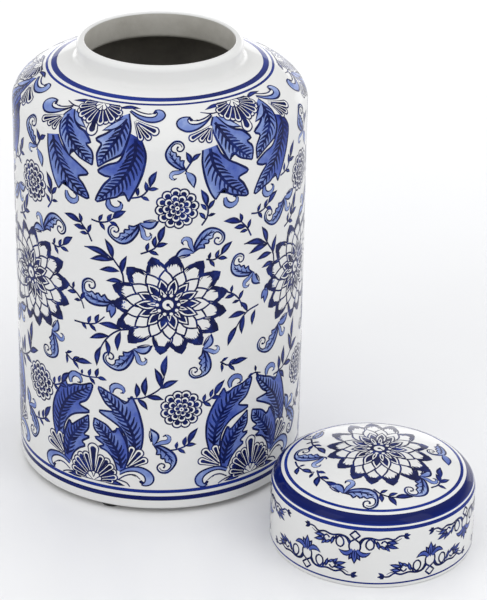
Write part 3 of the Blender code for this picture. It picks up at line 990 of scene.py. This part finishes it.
# Sprigs: leaves from foot to tip, stems, and the leaves' width where it isn't the usual one
FIELD_SPRIGS = (
    # over the small upper flower, left
    ([(-13 + 214.4j, -12.6 + 220j), (-11.4 + 214.2j, -6.2 + 211.8j), (-8.2 + 217.6j, -8.6 + 224.2j),
      (-7 + 218.6j, -0.8 + 219.6j), (-6 + 220.5j, -1.8 + 230.8j)],
     [[-17 + 213j, -11.5 + 214.4j, -7.6 + 218j, -4 + 224j]]),
    ([(-37 + 195.4j, -34.4 + 200.6j), (-37 + 195.2j, -33.2 + 190.4j), (-31.6 + 196.4j, -28.6 + 201.8j),
      (-30.4 + 196.4j, -24.8 + 193.8j), (-28.6 + 198.4j, -20 + 204.6j)],
     [[-42 + 196j, -36.6 + 195.2j, -31 + 196.6j, -26 + 201j]]),
    # large, up and left of the main flower
    ([(-28.4 + 172.6j, -33.4 + 185.2j), (-28.2 + 171.8j, -43.4 + 170j), (-24.2 + 165j, -37.2 + 164.2j),
      (-22.4 + 158.4j, -33 + 157.6j), (-23.2 + 163.4j, -19.8 + 175.8j), (-30 + 173.6j, -46.6 + 177.6j)],
     [[-21.8 + 158j, -23 + 165j, -28 + 172.4j, -32 + 180j],
      [-28.4 + 172j, -35 + 176.6j, -47 + 177.4j]], 0.14),
    ([(-7.8 + 179.2j, -6.6 + 185.2j), (-6.8 + 179.2j, -0.8 + 177j), (-3.2 + 182j, -2.6 + 189.6j),
      (-2.4 + 182.2j, 4.6 + 184.6j), (-0.4 + 185j, 3 + 196.2j)],
     [[-11.6 + 177.6j, -7 + 179.4j, -2.6 + 182.2j, 1 + 189j]]),
    ([(28 + 206.4j, 24 + 218j), (29 + 204.6j, 33 + 210.4j), (27.6 + 204j, 23.8 + 208.8j),
      (28.4 + 200.2j, 33.4 + 201.2j), (26.8 + 198.4j, 22.8 + 203.4j)],
     [[24.6 + 194.8j, 28 + 200j, 28.4 + 206j, 26 + 213j]]),
    ([(50.8 + 192.2j, 38.4 + 195.4j), (53.6 + 188.4j, 45.4 + 189.6j), (55.4 + 185.8j, 49.6 + 185.8j),
      (55.8 + 186.8j, 57.8 + 192.8j), (51 + 192.4j, 49.4 + 198.4j)],
     [[58 + 181.6j, 55 + 187.4j, 50.8 + 192.4j, 49.6 + 196j]]),
    ([(36.8 + 173.6j, 44.6 + 181.4j), (29.4 + 171.8j, 30.6 + 176.8j), (29.4 + 171.4j, 33 + 166.6j),
      (33.8 + 171.8j, 36 + 177.6j), (34.8 + 171.8j, 41.4 + 170.8j)],
     [[27.6 + 172.4j, 33 + 171.6j, 38 + 175j]]),
    ([(44.4 + 147.4j, 45.2 + 152.4j), (46.4 + 145j, 39.8 + 144.6j), (50 + 141.4j, 53 + 147.2j),
      (50 + 140.8j, 44.8 + 140.2j)],
     [[40 + 149.4j, 46 + 146j, 50 + 141.4j, 52 + 136j]]),
    ([(38 + 102j, 42.8 + 104.4j), (38 + 101.6j, 38.4 + 95j), (42.8 + 99j, 48.4 + 102.2j),
      (42.6 + 98.8j, 47.6 + 93.8j), (44.4 + 98.8j, 57 + 100j)],
     [[37.4 + 102.4j, 42.6 + 99j, 50 + 99.4j]], 0.15),
    # large, under the main flower
    ([(-14.4 + 81.2j, -14.6 + 91.4j), (-9 + 82.6j, -8.4 + 96j), (-8 + 82j, 2.2 + 80.4j),
      (-14 + 80.6j, -7.6 + 73.2j), (0.2 + 89j, -3.4 + 102.2j), (2.4 + 95.6j, 4.2 + 110.8j),
      (0.4 + 87.8j, 11 + 93.4j)],
     [[-20 + 80.2j, -13.6 + 80.8j, -8.6 + 82.2j, 0 + 88.2j, 2.4 + 96j]], 0.17),
    ([(27 + 76.6j, 28 + 82.4j), (26.4 + 76.2j, 31.8 + 72.8j), (31.2 + 79j, 33 + 85j),
      (31.4 + 78.4j, 38.4 + 78.2j), (33.6 + 79.8j, 40.6 + 89.6j)],
     [[23.6 + 77.2j, 28 + 76.8j, 33 + 79.4j, 37 + 84j]]),
    ([(10 + 45.8j, 10.6 + 51.2j), (10.6 + 45.6j, 15.6 + 42.4j), (14.8 + 47.4j, 16 + 54.4j),
      (15.4 + 47.6j, 22.4 + 48.2j), (17 + 49j, 23.4 + 59.6j)],
     [[5.4 + 45.2j, 10.4 + 45.8j, 16.4 + 48.2j, 20 + 53j]]),
    # beside the top scroll
    ([(17.6 + 234.6j, 15 + 242.4j), (18.4 + 236j, 24 + 240.8j)],
     [[15 + 231j, 18.4 + 236j, 21 + 239j]]),
)
# Left of the main flower: long hanging leaves, or a spreading spray from above
SIDE_SPRIGS = {
    "long": (
        ([(-23 + 126.6j, -38.4 + 128.4j), (-31 + 121.2j, -44.4 + 117j), (-24 + 125.4j, -26 + 111.8j),
          (-33.6 + 118.6j, -31.8 + 107.2j), (-37 + 113j, -39.6 + 99.2j)],
         [[-17 + 127.4j, -25 + 125.8j, -31.4 + 120.8j, -36 + 114j, -38.4 + 106j]], 0.13),
        ([(-50 + 126.4j, -46.2 + 122.4j), (-45 + 126.6j, -43 + 132.4j), (-44.6 + 126.4j, -39.6 + 122.4j),
          (-40 + 128j, -37.6 + 134.6j)],
         [[-55 + 126.2j, -47 + 126.4j, -40 + 128j, -34 + 133.6j]]),
        ([(-50 + 91j, -49.6 + 94.6j), (-45 + 90.6j, -43.6 + 96.4j), (-45 + 90.2j, -40.8 + 86j),
          (-40 + 91.2j, -38.4 + 98j), (-39.6 + 91.2j, -33 + 90.6j)],
         [[-55 + 91.6j, -48 + 90.4j, -39 + 91.4j]]),
    ),
    "short": (
        ([(-45 + 131.6j, -57.6 + 130.8j), (-43.6 + 131.8j, -49 + 139.8j), (-46 + 130j, -47.8 + 117.6j),
          (-51 + 124.4j, -57.6 + 112j), (-37.6 + 131.6j, -40 + 121.4j)],
         [[-35 + 134j, -44 + 131.8j, -50.6 + 125j, -54.6 + 117j]], 0.15),
        ([(-38 + 87.8j, -42.6 + 86.8j), (-36.4 + 88.4j, -37 + 93.2j), (-36 + 87.4j, -33.6 + 82.8j)],
         [[-42 + 86.6j, -37 + 88j, -32 + 86.4j]]),
    ),
}
# Scroll leaves: base, middle of the spiral, with a bract, with a bud
SCROLLS = (
    (15 + 231j, 10 + 245.6j, True, False), (-12 + 197j, -27.6 + 190.4j, True, True),
    (20 + 178j, 35.6 + 185.4j, True, True), (-16 + 114j, -31.4 + 105.6j, True, True),
    (26 + 113j, 21.4 + 97.6j, True, True), (-4 + 49j, 2.6 + 33j, True, True),
)
SIDE_SCROLL = {
    "long": (-28 + 144j, -44.4 + 152.6j, False, False),
    "short": (-39.8 + 157j, -51 + 168.4j, True, True),
}


def field(left_kind):
    """Everything between two palmette columns, heights and distances as on the jar's front."""
    made = Ink()
    for sprig in FIELD_SPRIGS + SIDE_SPRIGS[left_kind]:
        leafy(made, *sprig)
    for scroll in SCROLLS + (SIDE_SCROLL[left_kind],):
        acanthus(made, *scroll)
    made.petal(LINES, 15 + 230j, 20 + 219j, 2.3, SPEAR, "wash", (0.35, 0.08), bend=0.1)
    for tip in (-33 + 136.6j, -18.6 + 146j, -19 + 141j, -30 + 133j):
        made.petal(LINES, -28 + 143.6j, tip, 2.0, SPEAR, "wash", 0.45)
    made.dot("line", LINES + 1, -28 + 143.4j, 2.4)
    chrysanthemum(made, 10 + 207j, turn=6)
    chrysanthemum(made, 13 + 73.4j, turn=14)
    dahlia(made, 4.6 + 144.5j, JAR_FLOWER, seed=3)
    return made


def skirt_ornament():
    """Scrollwork that stands on the lid's lower ring, measured from its foot."""
    half = Ink()
    half.line([0.2j, 3.0 + 3.2j, 6.2j], 1.15, LINES, sharp=True)
    half.line([0.3 + 6.2j, 2.9 + 8.2j, 3.4 + 11.6j, 2.2 + 14.6j], 1.15)
    half.line([2.8 + 7.6j, 5 + 5.0j, 9 + 4.2j, 14 + 5.4j, 19 + 4.4j, 23 + 5.6j, 26.4 + 3.4j, 30.4 + 3.6j],
              1.2, LINES, (1.0, 1.0, 1.1, 1.0, 0.9))
    half.line([3.4 + 9j, 5.4 + 5.4j, 8.6 + 4.8j, 11.2 + 7.4j, 11 + 11j, 8.6 + 12.4j, 6.6 + 10j,
               7.4 + 6.4j, 10.4 + 4.6j], 1.1)
    half.line([21 + 5.2j, 24.4 + 6.6j, 27.6 + 5.0j], 0.9, LINES, (1.0, 0.4))
    for tip in (32.6 + 6.2j, 33.2 + 3.2j, 31.6 + 1.8j):
        half.blade("line", LINES, [28.8 + 3.6j, tip], 1.1, SPEAR)
    half.line([11 + 4.8j, 13.4 + 9j, 17.4 + 10.8j, 19.4 + 8.2j, 17.2 + 6.2j, 15.6 + 8j], 1.1)
    for foot, tip, width in ((13 + 6j, 14.6 + 12.2j, 1.3), (18.4 + 7j, 26 + 8.2j, 1.5),
                             (18 + 9j, 26.2 + 11.8j, 1.5), (17.6 + 9.6j, 21 + 13.6j, 1.2),
                             (14.6 + 9j, 18.6 + 12.4j, 1.2)):
        half.blade("line", LINES, [foot, tip], width, SPEAR)
        half.blade("wash", LINES + 1, [foot * 0.75 + tip * 0.25, tip * 0.8 + foot * 0.2], width * 0.4,
                   SPEAR, 0.7)
    wing = [1.6 + 12.4j, 3.4 + 15.6j, 6.4 + 16.2j, 9.8 + 14.0j]
    for spine, width in ((wing, 2.0), ([1.0 + 13j, 4.2 + 17.2j], 1.5), ([0.6 + 15j, 3.6 + 20.4j], 1.5)):
        half.blade("line", LINES, spine, width, SPEAR)
        half.blade("wash", LINES + 1, spine[:-1] + [spine[-1] * 0.7 + spine[-2] * 0.3], width * 0.5,
                   SPEAR, (0.8, 0.5))
    made = Ink()
    made.place(half)
    made.grids += [(layer, level, -np.conj(points), tones) for layer, level, points, tones in half.grids]
    made.petal(LINES + 2, 12.4j, 23.0j, 1.7, SPEAR, "wash", (0.85, 0.55), line=0.9)
    made.line([14j, 19j], 0.8, LINES + 4, (1.0, 0.4))
    return made


LID_SPRIGS = (
    ([(-36.5 + 23j, -31.8 + 22j), (-36.6 + 24j, -40.4 + 22.6j), (-36 + 19.2j, -31 + 15.6j),
      (-36 + 19j, -39.2 + 12.6j), (-34 + 14.8j, -29.6 + 4.6j)],
     [[-36.6 + 29j, -36.2 + 20j, -32 + 9j]]),
    ([(-46.6 - 5.6j, -47.8 - 13.4j), (-46 - 5.2j, -42 - 4.6j), (-45 - 8.6j, -38.6 - 15.2j),
      (-37.6 - 15j, -40.4 - 19.6j), (-36 - 14.4j, -30.4 - 17.6j), (-34.6 - 19j, -36.6 - 29j),
      (-34 - 20j, -28.8 - 24j), (-31.6 - 25j, -23 - 35.6j)],
     [[-48 + 2j, -46.6 - 5j, -42 - 12j, -37 - 14.6j], [-35.4 - 13j, -34.4 - 20j, -30 - 27j]]),
    ([(0.6 - 40j, 5.6 - 36.8j), (0.4 - 40.2j, 1.2 - 47.4j), (5 - 42.2j, 9.8 - 49.8j),
      (5.4 - 42.2j, 11.4 - 39.2j), (9 - 43.2j, 20.4 - 41.6j)],
     [[-3 - 36j, 1 - 40.4j, 7 - 42.8j, 16 - 42.6j]]),
    ([(36 - 28j, 41.6 - 30.2j), (38.4 - 25.4j, 44.4 - 20.2j), (38 - 24.6j, 36 - 16.8j),
      (39 - 20j, 39.6 - 8.6j)],
     [[32 - 31.4j, 37 - 27.2j, 39 - 19j]]),
)
LID_SCROLLS = (
    (-30 + 0.4j, -43 + 12.4j, True, False), (-21 - 38j, -5.6 - 48.0j, True, True),
    (26 - 22j, 19.4 - 37j, True, True), (41 + 22j, 36.6 + 8.6j, False, False),
    (-29.4 + 42j, -38.6 + 33j, False, False),
)


def lid_top():
    """The lid's flower and the leaves round it, x and y along the dome from its middle."""
    made = Ink()
    for scroll in LID_SCROLLS:
        acanthus(made, *scroll)
    for sprig in LID_SPRIGS:
        leafy(made, *sprig)
    made.petal(LINES, 43 + 8.6j, 45.4 - 4.6j, 2.6, SPEAR, "wash", (0.3, 0.5), bend=0.05)
    dahlia(made, 3.5 + 6.4j, LID_FLOWER, seed=8)
    return made


# ---------------------------------------------------------------- laying the paint on the bodies


def finer(values):
    """A grid with a point added between every two neighbours, both ways."""
    for axis in (0, 1):
        values = np.moveaxis(values, axis, 0)
        between = (values[:-1] + values[1:]) / 2
        woven = np.empty((len(values) * 2 - 1, *values.shape[1:]), values.dtype)
        woven[::2], woven[1::2] = values, between
        values = np.moveaxis(woven, 0, axis)
    return values


class Coat:
    """Paint gathered for one body, one mesh for each kind of paint and each sheet."""

    def __init__(self, surface, body, slot):
        self.surface, self.body, self.slot = surface, body, slot
        self.parts = {}
        self.sheet = ""

    def grid(self, layer, angle, along, lift, tones):
        points, normals = self.surface.place(angle, along, lift)
        rows, columns = along.shape
        key = (layer, self.sheet)
        part = self.parts.setdefault(key, {"points": [], "normals": [], "tones": [], "faces": [], "n": 0})
        index = np.arange(rows * columns).reshape(rows, columns)
        corners = np.stack([index[:-1, :-1], index[1:, :-1], index[1:, 1:], index[:-1, 1:]], axis=-1)
        i, j = min(rows // 2, rows - 2), min(columns // 2, columns - 2)
        a, b, c = points[i, j], points[i + 1, j], points[i, j + 1]
        if np.dot(np.cross(b - a, c - a), normals[i, j]) < 0:
            corners = corners[..., ::-1]
        part["points"].append(points.reshape(-1, 3))
        part["normals"].append(normals.reshape(-1, 3))
        part["tones"].append(np.broadcast_to(0.5 if tones is None else tones, along.shape).ravel())
        part["faces"].append(corners.reshape(-1, 4) + part["n"])
        part["n"] += rows * columns

    def lay(self, ink, place):
        """Puts a flat drawing on the surface. place turns its points into angles and lengths."""
        for layer, level, points, tones in ink.grids:
            angle, along = place(points)
            if along.max() > BEND_LOW and along.min() < BEND_HIGH:
                angle, along = finer(angle), finer(along)
                tones = None if tones is None else finer(np.broadcast_to(tones, points.shape))
            middle = (BEND_LOW + BEND_HIGH) / 2
            bend = np.exp(-(((along - middle) / (BEND_HIGH - middle)) ** 2))
            self.grid(layer, angle, along, LIFT_BASE + level * LIFT_STEP * (1 + bend), tones)

    def band(self, layer, start, end):
        """A ring round the body between two lengths along the surface."""
        rows = max(2, math.ceil(abs(end - start) / BAND_STEP) + 1)
        angle, along = np.meshgrid(np.linspace(0, 2 * math.pi, TURNS + 1), np.linspace(start, end, rows))
        self.grid(layer, angle, along, LIFT_BASE, None)

    def finish(self, looks):
        for (layer, sheet), part in self.parts.items():
            name = f"{self.body}_{layer}_paint{sheet}"
            mesh = bpy.data.meshes.new(name)
            points = np.concatenate(part["points"])
            mesh.from_pydata(points.tolist(), [], np.concatenate(part["faces"]).tolist())
            tone = mesh.attributes.new("tone", "FLOAT", "POINT")
            tone.data.foreach_set("value", np.concatenate(part["tones"]).astype(np.float32))
            mesh.shade_smooth()
            mesh.normals_split_custom_set_from_vertices(np.concatenate(part["normals"]).tolist())
            mesh.materials.append(looks[layer])
            piece = add_object(name, mesh)
            piece.location = (*self.surface.axis, 0.0)
            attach(piece, self.body)


def paint_jar(looks):
    coat = Coat(jar_surface(), "jar", "jar_glaze")
    fields = {kind: field(kind) for kind in ("long", "short")}
    palmettes = (top_palmette(), bottom_palmette())
    start = FRONT_COLUMN
    for index in range(FIELDS):
        width = FRONT_FIELD if index in (0, 1, FIELDS - 1) else BACK_FIELD

        def on_jar(points, origin, squeeze=width / FRONT_FIELD):
            return (origin + points.real * squeeze) / JAR_RADIUS, points.imag

        coat.sheet = f"_{index // 2 + 1}"
        kind = "long" if index % 2 == 0 else "short"
        coat.lay(fields[kind], lambda p, s=start: on_jar(p - FRONT_COLUMN, s))
        for palmette, shift in zip(palmettes, COLUMN_SHIFTS.get(index, (0.0, 0.0))):
            coat.lay(palmette, lambda p, s=start + shift: on_jar(p, s))
        start += width
    coat.sheet = ""
    for layer, low, high in JAR_BANDS:
        coat.band(layer, low, high)
    coat.finish(looks)


def paint_lid(looks):
    surface = lid_surface()
    coat = Coat(surface, "lid", "lid_glaze")
    coat.lay(lid_top(), lambda p: (np.arctan2(p.real, -p.imag), np.abs(p)))
    skirt_start = float(np.interp(-LID_SKIRT_TOP_Z, -surface.points[:, 1], surface.along))

    def on_skirt(points):
        return points.real / LID_RADIUS, skirt_start + LID_SKIRT_TOP_Z - points.imag

    ornament = skirt_ornament()
    spacing = 2 * math.pi * LID_RADIUS / SKIRT_REPEATS
    for index in range(SKIRT_REPEATS):
        standing, hanging = Ink(), Ink()
        standing.place(ornament, SKIRT_STANDING + spacing * index + SKIRT_FOOT * 1j)
        hanging.place(ornament, SKIRT_HANGING + spacing * index + SKIRT_HEAD * 1j, flip=True)
        coat.lay(standing, on_skirt)
        coat.lay(hanging, on_skirt)
    for layer, high, low in LID_BANDS:
        along = np.interp((-high, -low), -surface.points[:, 1], surface.along)
        coat.band(layer, *along)
    coat.finish(looks)


def camera():
    data = bpy.data.cameras.new("camera")
    data.lens = LENS_MM
    data.sensor_width = SENSOR_MM
    data.clip_start = 0.05
    eye = Vector((JAR_AXIS[0], JAR_AXIS[1] - CAMERA_BACK, CAMERA_HEIGHT))
    level = math.cos(CAMERA_PITCH)
    ahead = Vector(
        (math.sin(CAMERA_YAW) * level, math.cos(CAMERA_YAW) * level, -math.sin(CAMERA_PITCH))
    )
    right = ahead.cross(Vector((0, 0, 1))).normalized()
    above = right.cross(ahead)
    tilt_cos, tilt_sin = math.cos(CAMERA_ROLL), math.sin(CAMERA_ROLL)
    axis_x = right * tilt_cos + above * tilt_sin
    axis_y = above * tilt_cos - right * tilt_sin
    made = add_object("camera", data)
    made.matrix_world = Matrix.Translation(eye) @ Matrix((axis_x, axis_y, -ahead)).transposed().to_4x4()
    bpy.context.scene.camera = made


def area_light(name, place, aim, size, power):
    data = bpy.data.lights.new(name, "AREA")
    data.shape = "RECTANGLE"
    data.size, data.size_y = size
    data.energy = power
    made = add_object(name, data)
    made.location = place
    made.rotation_euler = (Vector(aim) - Vector(place)).to_track_quat("-Z", "Y").to_euler()


# Brightness of the surroundings from the horizon (0) to straight up (1)
ROOM_BRIGHTNESS = ((0.0, 1.0), (0.12, 0.88), (0.32, 0.40), (0.55, 0.50), (1.0, 1.0))
ROOM_STRENGTH = 1.38
FLOOR_REACH = 6.0
FLOOR_DARK = (0.86, 0.865, 0.88)
FLOOR_PALE = (0.885, 0.89, 0.90)
LIGHTS = (  # name, place, aim, size, power
    ("left box", (-1.1, -0.75, 1.05), (-0.05, 0.0, 0.14), (0.75, 1.0), 3.0),
    ("right box", (1.05, -0.85, 1.0), (0.0, 0.0, 0.12), (0.75, 1.0), 3.6),
    ("backdrop", (0.5, 2.3, 0.42), (0.2, 0.0, 0.1), (3.4, 0.8), 10.0),
)


def studio():
    """Pale floor, white surroundings that dim with height, and soft lights."""
    world = bpy.data.worlds.new("studio")
    world.use_nodes = True
    tree = world.node_tree
    background = tree.nodes["Background"]
    place = tree.nodes.new("ShaderNodeTexCoord")
    split = tree.nodes.new("ShaderNodeSeparateXYZ")
    tree.links.new(place.outputs["Generated"], split.inputs["Vector"])
    height = ramp(
        tree,
        split.outputs["Z"],
        [(share, (bright, bright, min(1.0, bright * 1.005))) for share, bright in ROOM_BRIGHTNESS],
    )
    tree.links.new(height, background.inputs["Color"])
    set_inputs(background, Strength=ROOM_STRENGTH)
    bpy.context.scene.world = world
    bpy.context.scene.view_settings.view_transform = "Standard"
    for light in LIGHTS:
        area_light(*light)
    floor_mesh = bpy.data.meshes.new("floor")
    corners = [(x * FLOOR_REACH, y * FLOOR_REACH, 0) for x, y in ((-1, -1), (1, -1), (1, 1), (-1, 1))]
    floor_mesh.from_pydata(corners, [], [(0, 1, 2, 3)])
    look, tree, shader = new_material("pale floor")
    colour_ramp(tree, shader, noise(tree, 3.0), ((0.3, FLOOR_DARK), (0.7, FLOOR_PALE)))
    set_shader(shader, 0.22, 0.35)
    floor_mesh.materials.append(look)
    floor = add_object("floor", floor_mesh)


def bodies():
    glaze = white_glaze()
    # Inside the jar and under the lid: the clay darkened to paint the shade in the hollow
    inside = bisque("inner wall painted shade", (0.40, 0.38, 0.345), (0.30, 0.285, 0.26))
    foot = bisque("bare clay", (0.62, 0.60, 0.56), (0.47, 0.45, 0.42))
    # Inside the neck: the glaze darkened to paint the shade that falls there
    mouth = bisque("neck inside painted shade", (0.545, 0.53, 0.485), (0.46, 0.445, 0.40))
    looks = {"inside": inside, "glaze": glaze, "foot": foot, "mouth": mouth}
    jar = turned("jar_turned", jar_sections(), JAR_AXIS, looks, "jar")
    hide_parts("jar_body")
    lid = turned("lid_turned", lid_sections(), LID_AXIS, looks, "lid")
    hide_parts("lid")
    rubber = pad_rubber()
    for name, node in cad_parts.items():
        if name.startswith("foot_pad"):
            node.data.materials.clear()
            node.data.materials.append(rubber)
    return glaze


camera()
studio()
white = bodies()
looks = {
    "line": cobalt_paint("line cobalt", STROKES, ((0.30, NAVY_DEEP), (0.52, NAVY), (0.74, NAVY_THIN))),
    "wash": wash_paint(),
    "white": white,
    "band": cobalt_paint("band cobalt", STREAKS, ((0.32, COBALT_DEEP), (0.55, COBALT), (0.75, WASH_DEEP))),
    "navy": cobalt_paint("band navy", STREAKS, ((0.30, NAVY), (0.55, COBALT_DEEP), (0.8, NAVY_THIN))),
}
paint_jar(looks)
paint_lid(looks)
